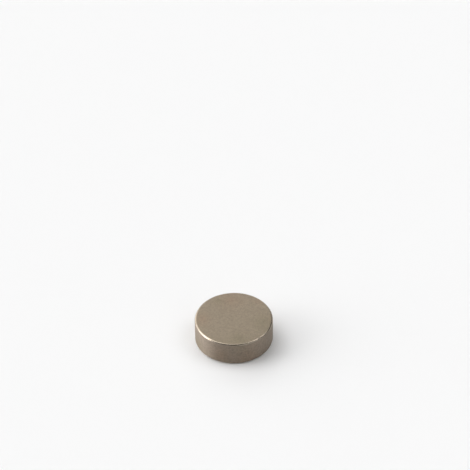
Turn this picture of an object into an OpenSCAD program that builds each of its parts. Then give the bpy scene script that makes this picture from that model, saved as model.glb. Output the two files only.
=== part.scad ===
// Plain disc magnet: one solid cylinder of sintered magnet alloy, ground on both
// pole faces and on its round wall, then tumbled so that both rims are rounded.
// It is magnetised through its thickness. Units are millimetres. The origin is the
// middle of the lower pole face, and +Z is the axis of the disc.

/* [Disc] */
// Diameter across the ground outer wall
disc_diameter = 15; // [3:0.5:60]
// Thickness from pole face to pole face
disc_thickness = 5; // [2:0.5:30]

/* [Rims] */
// Radius that tumbling leaves on the upper rim
upper_rim_radius = 0.4; // [0.1:0.05:0.9]
// Radius that tumbling leaves on the lower rim
lower_rim_radius = 0.4; // [0.1:0.05:0.9]

/* [Hidden] */
$fn = 128;
wall_radius = disc_diameter / 2;

// One rim's section: the quarter round that joins a pole face to the outer wall.
// The whole circle is drawn, because the rest of it lies inside the disc's section.
module rim_round(radius, height) {
    translate([wall_radius - radius, height]) circle(r = radius);
}

// A strip of the section from the axis out to reach, between two heights.
module strip(reach, from, to) {
    translate([0, from]) square([reach, to - from]);
}

// Half of the disc's section, with the axis at x = 0 and the lower pole face at y = 0.
module half_section() {
    lower_end = lower_rim_radius;
    upper_end = disc_thickness - upper_rim_radius;
    strip(wall_radius - lower_rim_radius, 0, lower_end);
    strip(wall_radius, lower_end, upper_end);
    strip(wall_radius - upper_rim_radius, upper_end, disc_thickness);
    rim_round(lower_rim_radius, lower_end);
    rim_round(upper_rim_radius, upper_end);
}

module disc() {
    color("#968B78") rotate_extrude() half_section();
}

disc();
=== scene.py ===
import itertools
import math

import bpy
import numpy as np
from mathutils import Matrix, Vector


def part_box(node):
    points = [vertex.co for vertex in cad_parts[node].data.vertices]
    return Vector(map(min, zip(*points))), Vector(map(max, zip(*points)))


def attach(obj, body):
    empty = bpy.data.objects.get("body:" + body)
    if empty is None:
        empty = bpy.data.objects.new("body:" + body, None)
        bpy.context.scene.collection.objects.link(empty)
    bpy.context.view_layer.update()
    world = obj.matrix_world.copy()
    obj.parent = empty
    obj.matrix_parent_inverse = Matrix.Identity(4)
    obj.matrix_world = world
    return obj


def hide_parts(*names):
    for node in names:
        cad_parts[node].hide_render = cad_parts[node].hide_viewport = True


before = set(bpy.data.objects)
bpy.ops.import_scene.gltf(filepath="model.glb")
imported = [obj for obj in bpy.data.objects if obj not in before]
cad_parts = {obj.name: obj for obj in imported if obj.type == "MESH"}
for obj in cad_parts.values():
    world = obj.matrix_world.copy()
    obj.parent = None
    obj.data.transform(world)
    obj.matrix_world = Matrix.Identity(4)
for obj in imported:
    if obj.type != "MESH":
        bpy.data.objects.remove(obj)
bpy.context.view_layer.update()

# Lengths are metres, in the part's own frame, unless a name ends in Mm or a note says so. Angles in
# the dictionaries are degrees, and those round the axis count from the right (+X) to the back (+Y).
mm = 0.001
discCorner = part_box("disc")[1]
discRadius = discCorner.x
discThickness = discCorner.z
mapName = "OFBake"  # the name of the disc's own map
noiseLow, noiseMiddle, noiseHigh = 0.3, 0.5, 0.7  # nearly all of a noise lies between the outer two


def linearColour(hexCode):
    # Each byte as a share of 255, through the sRGB curve: a straight foot, then the power 2.4.
    shares = [int(hexCode[i:i + 2], 16) / 255 for i in (1, 3, 5)]
    return [s / 12.92 if s <= 0.04045 else ((s + 0.055) / 1.055) ** 2.4 for s in shares] + [1.0]


def addNode(tree, kind, inputs, output=0, **settings):
    # Adds one node, sets its properties, fills or links its inputs, and hands back one output.
    # Inputs that share a name go by number: a Mix has values at 2 and 3 and colours at 6 and 7.
    node = tree.nodes.new("ShaderNode" + kind)
    for name, value in settings.items():
        setattr(node, name, value)
    for name, value in inputs.items():
        if isinstance(value, bpy.types.NodeSocket):
            tree.links.new(value, node.inputs[name])
        else:
            node.inputs[name].default_value = value
    return node.outputs[output] if node.outputs else None


# The magnet disc: a sintered samarium-cobalt blank, ground all over and then tumbled.
discLooks = {
    # form: how finely the skin is cut, and its rims
    "faceCells": 140,  # cells across each pole face; four times as many go round the axis
    "rimRows": 16,  # steps down each rim
    "wallRows": 60,
    "rimRadiusMm": 0.39,
    "rimSwingMm": 0.03,  # how far tumbling has made the rim's radius wander from that
    "rimSwingCellMm": 1.7,
    "rimSeeds": (15, 16),  # the upper rim's and the lower's
    "wallFromTilt": 60,  # where the rim's rubbed metal gives way to the wall's grinding
    "crownMm": 0.03,  # how far tumbling has let each face fall away towards its rim
    "crownPower": 4,
    # wear: everything here cuts inwards from the clean form
    "waveDepthMm": 0.008,  # slow unevenness left by grinding
    "waveCellMm": 3.5,
    "waveSeed": 17,
    "peenDepthMm": 0.004,  # soft dimples from the tumbling stones
    "peenCellMm": 0.45,
    "peenSeeds": (18, 19),  # the coarse dimples' and the fine ones'
    "peenOnFaces": 0.5,  # share of that depth on the flat faces
    "rimBumpMm": 0.03,  # lumps along the rims where they have knocked on other magnets
    "rimBumpCellMm": 0.5,
    "rimBumpSeed": 20,
    "quietRim": 0.06,  # share of those lumps between the knocks
    "knocks": (  # angle, spread, share
        (-54, 11, 1.0),
        (-107, 3, 0.3),
        (38, 14, 0.5),
        (112, 18, 0.7),
        (205, 10, 0.2),
    ),
    "hollowSeed": 117,  # where the pits and chips fall
    "pits": 44,
    "pitRadiusMm": (0.07, 0.14),
    "pitDepth": 0.14,  # share of the pit's radius
    "chips": 18,  # small breaks along both rims
    "chipRadiusMm": (0.05, 0.18),
    "chipDepth": 0.26,
    "chipsFromRimShare": 0.9,  # chips lie near the middle of a rim's curve
    "wallPits": (  # angle, height and radius in mm
        (-55, 4.25, 0.13),
        (-24, 2.1, 0.11),
        (-128, 1.4, 0.11),
        (150, 3.2, 0.14),
    ),
    "hollowStretch": (0.65, 1.5),  # distances across it are multiplied by this, so it isn't round
    "hollowStretchSeed": 22,
    "hollowShake": (0.6, 1.4),  # and by this, so its outline wanders in and out
    "hollowShakeCellMm": 0.12,
    "hollowShakeSeed": 21,
    "brokenAtMm": 0.05,  # a hollow this deep is broken metal all over
    # colour
    "bloomAndPaintedShadeColour": "#937F6D",  # faint brown heat bloom; on the wall's lower front also painted shade
    "bloomAndPaintedShadeSpots": (  # place and radius in mm
        (-6.3, -0.3, 5.0, 1.7),
        (-0.5, 5.4, 5.0, 2.4),
        (4.9, 5.2, 5.0, 1.2),
        # these two, low on the wall's front, are faint brown blotches and also painted shade there
        (2.8, -7.7, 1.6, 2.2),
        (-2.8, -7.7, 2.0, 2.0),
        (6.2, 5.7, 2.8, 1.4),
        (-8.1, 2.4, 2.2, 1.5),
        (1.8, 3.0, 0.0, 2.0),
        (-4.4, -2.6, 0.0, 1.6),
    ),
    "oliveColour": "#857C68",  # faint green-grey, where the skin is thinner
    "oliveSpots": (
        (0.9, -6.2, 5.0, 2.2),
        (5.6, -1.4, 5.0, 2.2),
        (-2.9, 4.9, 5.0, 1.0),
        (-7.0, -2.7, 1.5, 1.6),
        (1.1, 7.4, 2.6, 1.7),
        (-1.6, -4.9, 0.0, 1.9),
        (4.8, 1.2, 0.0, 1.5),
    ),
    "leastSpot": 0.35,  # how strong noise leaves a spot
    "mostSpot": 0.65,
    "spotCellMm": 1.6,
    "spotOctaves": 4.0,  # how many finer noises are added to it
    "spotFineness": 0.6,  # how strong those are
    "rimColour": "#BEB2A2",  # rubbed bright, in patches
    "rubCellMm": 1.2,
    "rubOctaves": 3.0,
    "leastRubbed": 0.65,  # share of that colour and polish between the patches
    "brokenColour": "#6E6254",
    "brokenShare": 0.55,  # how far broken metal takes its own colour
    "poreColour": "#453C33",
    # grain
    "grainCellMm": 0.40,
    "grainOctaves": 3.0,
    "grainFineness": 0.74,
    "grainHeightMm": 0.004,
    "crystalMm": 0.07,  # drawn about three times as large as the alloy's own
    "crystalTone": 0.14,  # how far they swing the colour, from the darkest to the lightest
    "poreCellMm": 0.42,
    "poreRadiusMm": 0.032,
    "poreFullTo": 0.5,  # share of the radius
    "poreDepthMm": 0.012,
    "noPoreBelow": 0.60,  # the share of the cells that hold no pore
    "fullPoreFrom": 0.75,
    "facetMm": 0.09,  # facets where the metal has broken
    "facetDepthMm": 0.03,
    "facetPull": 0.5,  # how far the broken metal's outline follows the facets
    "brokenFrom": 0.6,  # sound metal below this
    "brokenTo": 0.7,  # and all broken above this
    # grinding lines, drawn about twice as wide as the wheel's grit leaves them
    "layWidthMm": 0.05,
    "layLengthMm": 5.0,
    "layOctaves": 2.0,
    "layFineness": 0.6,
    "layTurn": 24,  # the way they run across the faces
    "wornCellMm": 2.2,  # tumbling has worn them away in places
    "wornOctaves": 3.0,
    "leastLines": 0.35,  # share of them left where they are worn most
    "scratchWidthMm": 0.04,
    "scratchLengthMm": 3.5,
    "scratchTurns": (12, 71, 118, 163),
    "scratchFrom": 0.80,  # the crests of the noise that are scratches
    "scratchTo": 0.87,
    "scratchShare": 0.25,
    "scratchDepthMm": 0.001,
    # roughness
    "roughnessSwing": 0.10,  # the grain's
    "crystalRoughness": 0.10,
    "rimRoughness": 0.15,
    "brokenRoughness": 0.68,
    # what the pole faces and the wall have of their own
    "face": {
        "colour": "#928675",
        "roughness": 0.44,
        "grainTone": 0.60,  # how far the grain swings the colour
        "layTone": 0.40,  # and the grinding lines
        "layHeightMm": 0.004,
    },
    "wall": {
        "colour": "#978B7E",
        "roughness": 0.58,
        "grainTone": 0.80,
        "layTone": 0.44,
        "layHeightMm": 0.004,
    },
    "wallSpread": 0.7,  # how far the wall's lines draw a reflection out up and down
}


def latticeNoise(places, cell, seed):
    # A random height from 0 to 1 at each corner of a lattice that repeats, blended between the
    # eight corners round a place with the smooth weight 3t^2 - 2t^3 along each axis.
    repeat = 64
    heights = np.random.default_rng(seed).uniform(0, 1, (repeat, repeat, repeat))
    scaled = places / cell
    corner = np.floor(scaled).astype(int)
    t = scaled - corner
    weight = t * t * (3 - 2 * t)
    total = np.zeros(len(places))
    for step in itertools.product((0, 1), repeat=3):
        i, j, k = ((corner + step) % repeat).T
        share = np.where(step, weight, 1 - weight).prod(axis=1)
        total += share * heights[i, j, k]
    return total


def roundGrid(cells):
    # Square rings laid out as circles: a grid point's distance from the middle is the larger of its
    # two sides, and its angle runs evenly along that ring, with the corners at the diagonals.
    side = np.linspace(-1, 1, cells + 1)
    across, along = np.meshgrid(side, side, indexing="ij")
    wide = np.abs(across) > np.abs(along)
    reach = np.where(wide, across, along)
    other = np.where(wide, along, across)
    share = np.divide(other, reach, out=np.zeros_like(reach), where=reach != 0)
    angle = np.where(wide, share, 2 - share) * math.pi / 4
    return reach * np.cos(angle), reach * np.sin(angle)


def edgeOfGrid(cells):
    # The numbers of the grid's outer points, once round, anticlockwise from the corner at -45 degrees.
    number = np.arange((cells + 1) ** 2).reshape(cells + 1, cells + 1)
    return np.concatenate([number[-1, :-1], number[:0:-1, -1], number[0, :0:-1], number[:-1, 0]])


def cellCorners(grid):
    # The four corners of each cell of a grid of point numbers or of map places, once round.
    corners = [grid[:-1, :-1], grid[1:, :-1], grid[1:, 1:], grid[:-1, 1:]]
    return np.stack(corners, axis=2).reshape(-1, 4, *grid.shape[2:])


def rimRadii(looks, around, height, seed):
    # The rim's radius at each angle: the plain radius plus or minus noise times the swing.
    places = np.column_stack([around * discRadius, np.full(len(around), height)])
    swing = 2 * latticeNoise(places, looks["rimSwingCellMm"] * mm, seed) - 1
    return (looks["rimRadiusMm"] + looks["rimSwingMm"] * swing) * mm


def discProfile(looks, upper, lower):
    # From the upper face down to the lower one: a quarter circle for each rim, with the wall's
    # straight line between them. Returns reach and height, a row for each step and a column for each
    # angle, and each row's tilt, which is 0 on the upper face and pi on the lower.
    turn = np.linspace(0, math.pi / 2, looks["rimRows"] + 1)[:, None]
    fall = np.linspace(0, 1, looks["wallRows"] + 1)[1:-1, None]
    wallTop = discThickness - upper
    reach = np.concatenate([
        discRadius - upper + upper * np.sin(turn),
        np.full((len(fall), len(upper)), discRadius),
        discRadius - lower + lower * np.cos(turn),
    ])
    rise = np.concatenate([
        wallTop + upper * np.cos(turn),
        wallTop + (lower - wallTop) * fall,
        lower - lower * np.sin(turn),
    ])
    tilt = np.concatenate([turn, np.full((len(fall), 1), math.pi / 2), turn + math.pi / 2])[:, 0]
    return reach, rise, tilt


def poleFace(looks, angle, radii, height):
    # A round grid scaled to where the rim begins. The rim's radius wanders, so the grid's own
    # radius follows it, with a power of the distance from the middle that leaves the middle even.
    followPower = 6
    x, y = roundGrid(looks["faceCells"])
    gridAngle = (np.arctan2(y, x) - angle[0]) % (2 * math.pi) + angle[0]
    local = np.interp(gridAngle, np.append(angle, angle[0] + 2 * math.pi), np.append(radii, radii[0]))
    size = discRadius - radii.mean() - (local - radii.mean()) * np.hypot(x, y) ** followPower
    return np.stack([x * size, y * size, np.full_like(x, height)], axis=-1).reshape(-1, 3)


def discSurface(looks):
    # Two pole faces joined by the profile carried round the axis. Returns the points, the tilt at
    # each, the faces, which of them have the wall's finish, and their corners' places on the map.
    cells = looks["faceCells"]
    columns = 4 * cells
    angle = (np.arange(columns) / columns * 2 - 0.25) * math.pi  # from the corner at -45 degrees
    around = np.stack([np.cos(angle), np.sin(angle)], axis=1)
    upper = rimRadii(looks, around, discThickness, looks["rimSeeds"][0])
    lower = rimRadii(looks, around, 0, looks["rimSeeds"][1])
    reach, rise, bandTilt = discProfile(looks, upper, lower)
    band = np.stack([reach * around[:, 0], reach * around[:, 1], rise], axis=-1)
    inner = band[1:-1].reshape(-1, 3)
    top = poleFace(looks, angle, upper, discThickness)
    foot = poleFace(looks, angle, lower, 0.0)
    points = np.concatenate([top, inner, foot])
    tilt = np.concatenate([
        np.zeros(len(top)), np.repeat(bandTilt[1:-1], columns), np.full(len(foot), math.pi),
    ])

    face = np.arange(len(top)).reshape(cells + 1, cells + 1)
    footStart = len(top) + len(inner)
    edge = edgeOfGrid(cells)[None]
    between = len(top) + np.arange(len(inner)).reshape(-1, columns)
    rows = np.concatenate([edge, between, footStart + edge])
    rows = np.concatenate([rows, rows[:, :1]], axis=1)
    half = columns // 2
    faces = np.concatenate([
        cellCorners(face),
        cellCorners(rows[:, :half + 1]),
        cellCorners(rows[:, half:]),
        footStart + cellCorners(face)[:, ::-1],
    ])
    middleTilt = (bandTilt[1:] + bandTilt[:-1]) / 2
    isWall = np.repeat(np.sin(middleTilt) > math.sin(math.radians(looks["wallFromTilt"])), half)
    isFace = np.zeros(cells ** 2, bool)
    onWall = np.concatenate([isFace, isWall, isWall, isFace])
    return points, tilt, faces, onWall, discMap(cells, half, reach[:, 0], rise[:, 0])


def discMap(cells, half, reach, rise):
    # The pole faces lie side by side as round islands. Below them the rims and wall are two strips,
    # each half the way round, with rows as far apart as their share of the profile's length.
    margin, islandRadius, islandHeight = 0.01, 0.235, 0.74
    leftIsland, rightIsland = 0.25, 0.75
    stripTop, stripTall, stripStep = 0.475, 0.22, 0.24
    disc = np.stack(roundGrid(cells), axis=-1) * islandRadius
    steps = np.hypot(np.diff(reach), np.diff(rise))
    down = np.append(0, steps.cumsum()) / steps.sum()
    across, downward = np.meshgrid(np.linspace(margin, 1 - margin, half + 1), down * stripTall)
    strip = np.stack([across, stripTop - downward], axis=-1)
    return np.concatenate([
        cellCorners(disc + (leftIsland, islandHeight)),
        cellCorners(strip),
        cellCorners(strip - (0, stripStep)),
        cellCorners(disc * (-1, 1) + (rightIsland, islandHeight))[:, ::-1],
    ])


def scoops(places, middles, radii, share, looks):
    # Hollows: share * radius * (1 - (distance / radius)^2) inside each radius, the deepest where two
    # meet. Each is stretched its own way and its distance is shaken by noise, so outlines are ragged.
    shaken = latticeNoise(places, looks["hollowShakeCellMm"] * mm, looks["hollowShakeSeed"])
    least, most = looks["hollowShake"]
    ragged = least + (most - least) * shaken
    rng = np.random.default_rng(looks["hollowStretchSeed"])
    stretches = rng.uniform(*looks["hollowStretch"], (len(radii), 3))
    depth = np.zeros(len(places))
    for middle, radius, stretch in zip(middles, radii, stretches):
        distance = np.linalg.norm((places - middle) * stretch, axis=1) * ragged / radius
        depth = np.maximum(depth, share * radius * np.clip(1 - distance ** 2, 0, 1))
    return depth


def knockShare(places, looks):
    # How hard the magnet was knocked at each angle: each knock's share times
    # exp(-(angle from it / spread)^2), the hardest where two meet, and the quiet rim's share between.
    angle = np.arctan2(places[:, 1], places[:, 0])
    knocked = np.full(len(places), looks["quietRim"])
    for degrees, spread, share in looks["knocks"]:
        turned = (angle - math.radians(degrees) + math.pi) % (2 * math.pi) - math.pi
        knocked = np.maximum(knocked, share * np.exp(-(turned / math.radians(spread)) ** 2))
    return knocked


def rubbedDepth(places, tilt, looks):
    # Slow waves, plus soft dimples with finer ones of half their size and depth, plus lumps on the
    # rims where they were knocked. The dimples are shallower on the flat faces.
    coarseSeed, fineSeed = looks["peenSeeds"]
    waves = latticeNoise(places, looks["waveCellMm"] * mm, looks["waveSeed"])
    peen = latticeNoise(places, looks["peenCellMm"] * mm, coarseSeed)
    peen += latticeNoise(places, looks["peenCellMm"] / 2 * mm, fineSeed) / 2
    peen *= looks["peenOnFaces"] + (1 - looks["peenOnFaces"]) * np.sin(tilt) ** 2
    lumps = latticeNoise(places, looks["rimBumpCellMm"] * mm, looks["rimBumpSeed"])
    bumps = knockShare(places, looks) * rimShare(tilt) * lumps
    depthMm = looks["waveDepthMm"] * waves + looks["peenDepthMm"] * peen
    return (depthMm + looks["rimBumpMm"] * bumps) * mm


def hollowDepth(places, tilt, looks):
    # Pits anywhere, chips on the rims and a few placed pits on the wall, the deepest at each place.
    # Also how broken the skin is there: pits and chips added up, as a share of the depth at which
    # it is broken all over.
    rng = np.random.default_rng(looks["hollowSeed"])
    pitMiddles = places[rng.integers(0, len(places), looks["pits"])]
    pitRadii = rng.uniform(*looks["pitRadiusMm"], looks["pits"]) * mm
    rims = np.flatnonzero(rimShare(tilt) > looks["chipsFromRimShare"])
    chipMiddles = places[rng.choice(rims, looks["chips"])]
    chipRadii = rng.uniform(*looks["chipRadiusMm"], looks["chips"]) * mm
    angles, heights, wallRadii = np.array(looks["wallPits"]).T
    turn = np.radians(angles)
    wallMiddles = np.column_stack([discRadius * np.cos(turn), discRadius * np.sin(turn), heights * mm])
    pits = scoops(places, pitMiddles, pitRadii, looks["pitDepth"], looks)
    chips = scoops(places, chipMiddles, chipRadii, looks["chipDepth"], looks)
    chips = np.maximum(chips, scoops(places, wallMiddles, wallRadii * mm, looks["chipDepth"], looks))
    return np.maximum(pits, chips), np.clip((pits + chips) / (looks["brokenAtMm"] * mm), 0, 1)


def rimShare(tilt):
    # The squared sine of twice the tilt, so 1 half way round each rim's curve, and nought on the
    # faces and the wall.
    return np.sin(2 * tilt) ** 2


def spotShare(places, spots):
    # Soft spots, each exp(-(distance / radius)^2), the strongest where two meet.
    share = np.zeros(len(places))
    for x, y, z, radius in spots:
        distance = np.linalg.norm(places - np.array([x, y, z]) * mm, axis=1) / (radius * mm)
        share = np.maximum(share, np.exp(-distance ** 2))
    return share


def meshPiece(name, points, faces, materials, slots, mapPlaces, marks):
    # A mesh object at the origin, from whole arrays: its faces' materials, its map and its marks.
    mesh = bpy.data.meshes.new(name)
    mesh.from_pydata(points.tolist(), [], faces.tolist())
    for material in materials:
        mesh.materials.append(material)
    mesh.polygons.foreach_set("use_smooth", np.ones(len(faces), bool))
    mesh.polygons.foreach_set("material_index", slots.astype(np.int32))
    mesh.uv_layers.new(name=mapName).data.foreach_set("uv", mapPlaces.ravel())
    for markName, values in marks.items():
        mesh.attributes.new(markName, "FLOAT", "POINT").data.foreach_set("value", values)
    mesh.update()
    piece = bpy.data.objects.new(name, mesh)
    bpy.context.scene.collection.objects.link(piece)
    return piece


def perMetre(cellMm):
    # The scale that gives a pattern cells of that many millimetres.
    return 1 / (cellMm * mm)


def grindingLines(tree, place, looks, side):
    # Noise about nought, drawn out along the wheel's path, times a slower noise for how much of it
    # tumbling has left. The lines run straight across the faces and level round the wall.
    stretch = looks["layLengthMm"] / looks["layWidthMm"]
    drawnOut = addNode(tree, "Mapping", {
        "Vector": place,
        "Rotation": (0, 0, math.radians(looks["layTurn"])),
        "Scale": (stretch, stretch, 1) if side == "wall" else (stretch, 1, stretch),
    }, vector_type="TEXTURE")
    noise = addNode(tree, "TexNoise", {
        "Vector": drawnOut, "Scale": perMetre(looks["layWidthMm"]), "Detail": looks["layOctaves"],
        "Roughness": looks["layFineness"],
    })
    swing = addNode(tree, "Math", {0: noise, 1: noiseMiddle}, operation="SUBTRACT")
    worn = addNode(tree, "TexNoise", {
        "Vector": place, "Scale": perMetre(looks["wornCellMm"]), "Detail": looks["wornOctaves"],
    })
    kept = addNode(tree, "MapRange", {
        "Value": worn, "From Min": noiseLow, "From Max": noiseHigh,
        "To Min": looks["leastLines"], "To Max": 1.0,
    })
    return addNode(tree, "Math", {0: swing, 1: kept}, operation="MULTIPLY")


def scratchLines(tree, place, looks):
    # The highest crests of noise drawn out at a few angles, the strongest of them at each place.
    stretch = looks["scratchLengthMm"] / looks["scratchWidthMm"]
    scratches = 0.0
    for turn in looks["scratchTurns"]:
        drawnOut = addNode(tree, "Mapping", {
            "Vector": place,
            "Location": (turn * mm, turn * mm, 0),  # apart from the others, so that no two cross alike
            "Rotation": (0, 0, math.radians(turn)),
            "Scale": (stretch, 1, stretch),
        }, vector_type="TEXTURE")
        noise = addNode(tree, "TexNoise", {
            "Vector": drawnOut, "Scale": perMetre(looks["scratchWidthMm"]), "Detail": 0.0,
        })
        crest = addNode(tree, "MapRange", {
            "Value": noise, "From Min": looks["scratchFrom"], "From Max": looks["scratchTo"],
        })
        scratches = addNode(tree, "Math", {0: crest, 1: scratches}, operation="MAXIMUM")
    return scratches


def openPores(tree, place, looks):
    # In some of the cells, a dot about the cell's own point, full to a share of the pore's radius
    # and fading out at the whole of it.
    nearest = addNode(tree, "TexVoronoi", {
        "Vector": place, "Scale": perMetre(looks["poreCellMm"]),
    }, "Distance")
    reach = looks["poreRadiusMm"] / looks["poreCellMm"]
    dot = addNode(tree, "MapRange", {
        "Value": nearest, "From Min": reach, "From Max": reach * looks["poreFullTo"],
    })
    chance = addNode(tree, "SeparateColor", {"Color": nearest.node.outputs["Color"]}, "Green")
    picked = addNode(tree, "MapRange", {
        "Value": chance, "From Min": looks["noPoreBelow"], "From Max": looks["fullPoreFrom"],
    })
    return addNode(tree, "Math", {0: dot, 1: picked}, operation="MULTIPLY")


def brokenMetal(tree, place, looks):
    # How broken the hollow is, plus a share of each facet's own random number, cut off sharply, so
    # that the outline runs along the facets. Also that times the distance from the facet's point,
    # for its depth.
    hollow = addNode(tree, "Attribute", {}, "Fac", attribute_name="hollowShare")
    nearest = addNode(tree, "TexVoronoi", {
        "Vector": place, "Scale": perMetre(looks["facetMm"]),
    }, "Distance")
    facet = addNode(tree, "SeparateColor", {"Color": nearest.node.outputs["Color"]}, "Blue")
    ragged = addNode(tree, "Math", {0: facet, 1: looks["facetPull"], 2: hollow}, operation="MULTIPLY_ADD")
    broken = addNode(tree, "MapRange", {
        "Value": ragged, "From Min": looks["brokenFrom"], "From Max": looks["brokenTo"],
    })
    return broken, addNode(tree, "Math", {0: broken, 1: nearest}, operation="MULTIPLY")


def magnetAlloy(name, looks, side):
    # Sintered magnet alloy, ground and then tumbled. It gives the eye a dull grey-brown metal with a
    # fine grain, faint stains, painted shade on the wall's lower front, a few open pores, fine grinding
    # lines, and rims rubbed brighter than the rest. Round the wall the lines draw each reflection out
    # up and down.
    own = looks[side]
    material = bpy.data.materials.new(name)
    material.use_nodes = True
    tree = material.node_tree
    tree.nodes.clear()
    place = addNode(tree, "TexCoord", {}, "Object")

    # The sintered grain, and the separate crystals in it that catch the light differently.
    grain = addNode(tree, "TexNoise", {
        "Vector": place, "Scale": perMetre(looks["grainCellMm"]), "Detail": looks["grainOctaves"],
        "Roughness": looks["grainFineness"],
    })
    crystals = addNode(tree, "TexVoronoi", {
        "Vector": place, "Scale": perMetre(looks["crystalMm"]),
    }, "Color")
    crystal = addNode(tree, "SeparateColor", {"Color": crystals}, "Red")
    lay = grindingLines(tree, place, looks, side)
    scratches = scratchLines(tree, place, looks) if side == "face" else 0.0
    pore = openPores(tree, place, looks)
    broken, facetHollow = brokenMetal(tree, place, looks)

    # Stains, and painted shade on the wall's lower front, are each spot's soft share, broken up by noise.
    cloud = addNode(tree, "TexNoise", {
        "Vector": place, "Scale": perMetre(looks["spotCellMm"]), "Detail": looks["spotOctaves"],
        "Roughness": looks["spotFineness"],
    })
    patchy = addNode(tree, "MapRange", {
        "Value": cloud, "From Min": noiseLow, "From Max": noiseHigh,
        "To Min": looks["leastSpot"], "To Max": looks["mostSpot"],
    })
    bloomAndPaintedShadeSpot = addNode(tree, "Attribute", {}, "Fac", attribute_name="bloomAndPaintedShadeShare")
    bloomAndPaintedShade = addNode(tree, "Math", {0: bloomAndPaintedShadeSpot, 1: patchy}, operation="MULTIPLY")
    oliveSpot = addNode(tree, "Attribute", {}, "Fac", attribute_name="oliveShare")
    olive = addNode(tree, "Math", {0: oliveSpot, 1: patchy}, operation="MULTIPLY")

    # Rims are rubbed bright in patches, and all over where they were knocked.
    rub = addNode(tree, "TexNoise", {
        "Vector": place, "Scale": perMetre(looks["rubCellMm"]), "Detail": looks["rubOctaves"],
    })
    rubbed = addNode(tree, "MapRange", {
        "Value": rub, "From Min": noiseLow, "From Max": noiseHigh,
        "To Min": looks["leastRubbed"], "To Max": 1.0,
    })
    knocked = addNode(tree, "Attribute", {}, "Fac", attribute_name="knockShare")
    bright = addNode(tree, "Math", {0: rubbed, 1: knocked}, operation="MAXIMUM")
    rim = addNode(tree, "Attribute", {}, "Fac", attribute_name="rimShare")
    burnish = addNode(tree, "Math", {0: rim, 1: bright}, operation="MULTIPLY")

    # Colour: the ground metal, stained and rubbed, with painted shade on the wall's lower front, then
    # toned by grain, crystals and lines, then scratched, broken and pitted.
    colour = linearColour(own["colour"])
    for share, key in ((bloomAndPaintedShade, "bloomAndPaintedShadeColour"), (olive, "oliveColour"), (burnish, "rimColour")):
        colour = addNode(tree, "Mix", {
            0: share, 6: colour, 7: linearColour(looks[key]),
        }, 2, data_type="RGBA")
    tones = (
        (grain, own["grainTone"]),
        (crystal, looks["crystalTone"]),
        (lay, own["layTone"]),
    )
    tone = 1 - (own["grainTone"] + looks["crystalTone"]) / 2
    for swing, amount in tones:
        tone = addNode(tree, "Math", {0: swing, 1: amount, 2: tone}, operation="MULTIPLY_ADD")
    colour = addNode(tree, "VectorMath", {0: colour, "Scale": tone}, "Vector", operation="SCALE")
    scratched = addNode(tree, "Math", {0: scratches, 1: looks["scratchShare"]}, operation="MULTIPLY")
    bare = addNode(tree, "Math", {0: broken, 1: looks["brokenShare"]}, operation="MULTIPLY")
    for share, key in ((scratched, "rimColour"), (bare, "brokenColour"), (pore, "poreColour")):
        colour = addNode(tree, "Mix", {
            0: share, 6: colour, 7: linearColour(looks[key]),
        }, 2, data_type="RGBA")

    # Roughness: the grain's high spots are smoother, rubbed rims much smoother, broken metal rough.
    rough = own["roughness"] + (looks["roughnessSwing"] - looks["crystalRoughness"]) / 2
    for swing, amount in ((grain, -looks["roughnessSwing"]), (crystal, looks["crystalRoughness"])):
        rough = addNode(tree, "Math", {0: swing, 1: amount, 2: rough}, operation="MULTIPLY_ADD")
    rough = addNode(tree, "Mix", {0: burnish, 2: rough, 3: looks["rimRoughness"]})
    dull = addNode(tree, "Math", {0: broken, 1: pore}, operation="MAXIMUM")
    rough = addNode(tree, "Mix", {0: dull, 2: rough, 3: looks["brokenRoughness"]})

    # Relief: each pattern times its height in metres, added up.
    heights = (
        (grain, looks["grainHeightMm"]),
        (lay, own["layHeightMm"]),
        (pore, -looks["poreDepthMm"]),
        (scratches, -looks["scratchDepthMm"]),
        (facetHollow, -looks["facetDepthMm"]),
    )
    height = 0.0
    for pattern, heightMm in heights:
        height = addNode(tree, "Math", {0: pattern, 1: heightMm * mm, 2: height}, operation="MULTIPLY_ADD")
    relief = addNode(tree, "Bump", {"Height": height, "Distance": 1.0, "Strength": 1.0})

    surface = {"Base Color": colour, "Metallic": 1.0, "Roughness": rough, "Normal": relief}
    if side == "wall":
        # The map's first direction runs round the wall, and a quarter turn from it is up and down.
        quarterTurn = 0.25
        surface["Tangent"] = addNode(tree, "Tangent", {}, direction_type="UV_MAP", uv_map=mapName)
        surface["Anisotropic"] = looks["wallSpread"]
        surface["Anisotropic Rotation"] = quarterTurn
    addNode(tree, "OutputMaterial", {"Surface": addNode(tree, "BsdfPrincipled", surface)})
    return material


def makeDisc(looks):
    # The clean form, less its wear along the outward direction, less a crown that falls away with a
    # power of the distance from the axis.
    print("disc: mesh")
    points, tilt, faces, onWall, mapPlaces = discSurface(looks)
    hollows, broken = hollowDepth(points, tilt, looks)
    depth = rubbedDepth(points, tilt, looks) + hollows
    reach = np.linalg.norm(points[:, :2], axis=1)[:, None]
    spoke = np.divide(points[:, :2], reach, out=np.zeros_like(points[:, :2]), where=reach > 0)
    outward = np.column_stack([np.sin(tilt)[:, None] * spoke, np.cos(tilt)])
    worn = points - outward * depth[:, None]
    fall = (reach[:, 0] / discRadius) ** looks["crownPower"]
    worn[:, 2] -= np.cos(tilt) * fall * looks["crownMm"] * mm
    marks = {
        "rimShare": rimShare(tilt),
        "knockShare": knockShare(points, looks),
        "hollowShare": broken,
        # brown bloom, which on the wall's lower front is also painted shade
        "bloomAndPaintedShadeShare": spotShare(points, looks["bloomAndPaintedShadeSpots"]),
        "oliveShare": spotShare(points, looks["oliveSpots"]),
    }
    print("disc: materials")
    alloys = [
        magnetAlloy("surfaceGroundMagnetAlloy", looks, "face"),
        magnetAlloy("centrelessGroundMagnetAlloy", looks, "wall"),
    ]
    return meshPiece("magnetDisc", worn, faces, alloys, onWall, mapPlaces, marks)


disc = makeDisc(discLooks)
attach(disc, "root")
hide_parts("disc")

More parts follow.
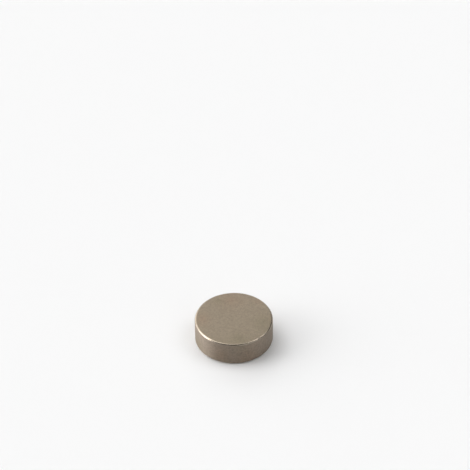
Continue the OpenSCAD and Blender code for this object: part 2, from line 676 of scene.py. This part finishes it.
print("studio")
studioLooks = {
    "floorColour": "#F3F3F3",
    "floorRoughness": 0.9,
    "floorGloss": 0.0,
    "floorSide": 6.0,
    "lamps": {  # azimuth, elevation, spread, and brightness where a white floor is 1
        "leftLow": (187, 13, 45, 2.9),
        "leftWide": (150, 25, 80, 1.57),
        "leftHigh": (160, 64, 40, 1.67),
        "rightHigh": (8, 56, 36, 1.9),
        "backLow": (90, 30, 32, 1.5),
        "frontRight": (-45, 20, 60, 0.38),
        "overhead": (90, 78, 32, 1.45),
    },
    "wallStrength": 0.95,  # the room's white wall, seen low down all round
    "ceilingStrength": 0.15,
    "wallTop": (0.036, 0.12),  # the sines of the heights between which one turns into the other
}


def whiteCard(looks):
    # Matt white card, which gives the eye nothing but the shadow.
    card = bpy.data.materials.new("whiteCard")
    card.use_nodes = True
    card.node_tree.nodes.clear()
    matt = addNode(card.node_tree, "BsdfPrincipled", {
        "Base Color": linearColour(looks["floorColour"]),
        "Roughness": looks["floorRoughness"],
        "Specular IOR Level": looks["floorGloss"],
    })
    addNode(card.node_tree, "OutputMaterial", {"Surface": matt})
    return card


def studioFloor(looks):
    # One square, its middle at the origin.
    half = looks["floorSide"] / 2
    corners = [(x * half, y * half, 0) for x, y in ((-1, -1), (1, -1), (1, 1), (-1, 1))]
    mesh = bpy.data.meshes.new("studioFloor")
    mesh.from_pydata(corners, [], [(0, 1, 2, 3)])
    mesh.materials.append(whiteCard(looks))
    floor = bpy.data.objects.new("studioFloor", mesh)
    bpy.context.scene.collection.objects.link(floor)
    return floor


def softBox(name, azimuth, elevation, spread, level):
    # A sun as wide as a soft box. Its strength is its level times pi times the squared sine of half
    # its spread, and it is turned to shine from the azimuth and elevation.
    lamp = bpy.data.lights.new(name, "SUN")
    lamp.angle = math.radians(spread)
    lamp.energy = level * math.pi * math.sin(lamp.angle / 2) ** 2
    box = bpy.data.objects.new(name, lamp)
    turn = Matrix.Rotation(math.radians(azimuth + 90), 4, "Z")
    box.matrix_world = turn @ Matrix.Rotation(math.radians(90 - elevation), 4, "X")
    bpy.context.scene.collection.objects.link(box)


def studioWorld(looks):
    # A white wall low down and a dim ceiling above it, with a smooth step between two heights.
    world = bpy.data.worlds.new("studio")
    world.use_nodes = True
    sky = world.node_tree
    sky.nodes.clear()
    direction = addNode(sky, "TexCoord", {}, "Generated")
    height = addNode(sky, "SeparateXYZ", {"Vector": direction}, "Z")
    strength = addNode(sky, "MapRange", {
        "Value": height, "From Min": looks["wallTop"][0], "From Max": looks["wallTop"][1],
        "To Min": looks["wallStrength"], "To Max": looks["ceilingStrength"],
    }, interpolation_type="SMOOTHSTEP")
    air = addNode(sky, "Background", {"Color": (1, 1, 1, 1), "Strength": strength})
    addNode(sky, "OutputWorld", {"Surface": air})
    return world


studioFloor(studioLooks)
for name, (azimuth, elevation, spread, level) in studioLooks["lamps"].items():
    softBox(name, azimuth, elevation, spread, level)
bpy.context.scene.world = studioWorld(studioLooks)

print("camera")
cameraLooks = {
    "lensMm": 205.35,
    "sensorMm": 36.0,
    "place": (0.0, -0.37772, 0.35286),
    "pitchDown": 40.866,
    "heading": -0.067,
    "roll": -0.738,
}


def makeCamera(looks):
    # Rolled about its own axis, tipped down from the level, turned by its heading, then placed.
    data = bpy.data.cameras.new("camera")
    data.lens = looks["lensMm"]
    data.sensor_width = looks["sensorMm"]
    camera = bpy.data.objects.new("camera", data)
    bpy.context.scene.collection.objects.link(camera)
    heading = Matrix.Rotation(math.radians(looks["heading"]), 4, "Z")
    tip = Matrix.Rotation(math.radians(90 - looks["pitchDown"]), 4, "X")
    roll = Matrix.Rotation(math.radians(looks["roll"]), 4, "Z")
    camera.matrix_world = Matrix.Translation(looks["place"]) @ heading @ tip @ roll
    return camera


bpy.context.scene.camera = makeCamera(cameraLooks)
bpy.context.scene.view_settings.view_transform = "Standard"
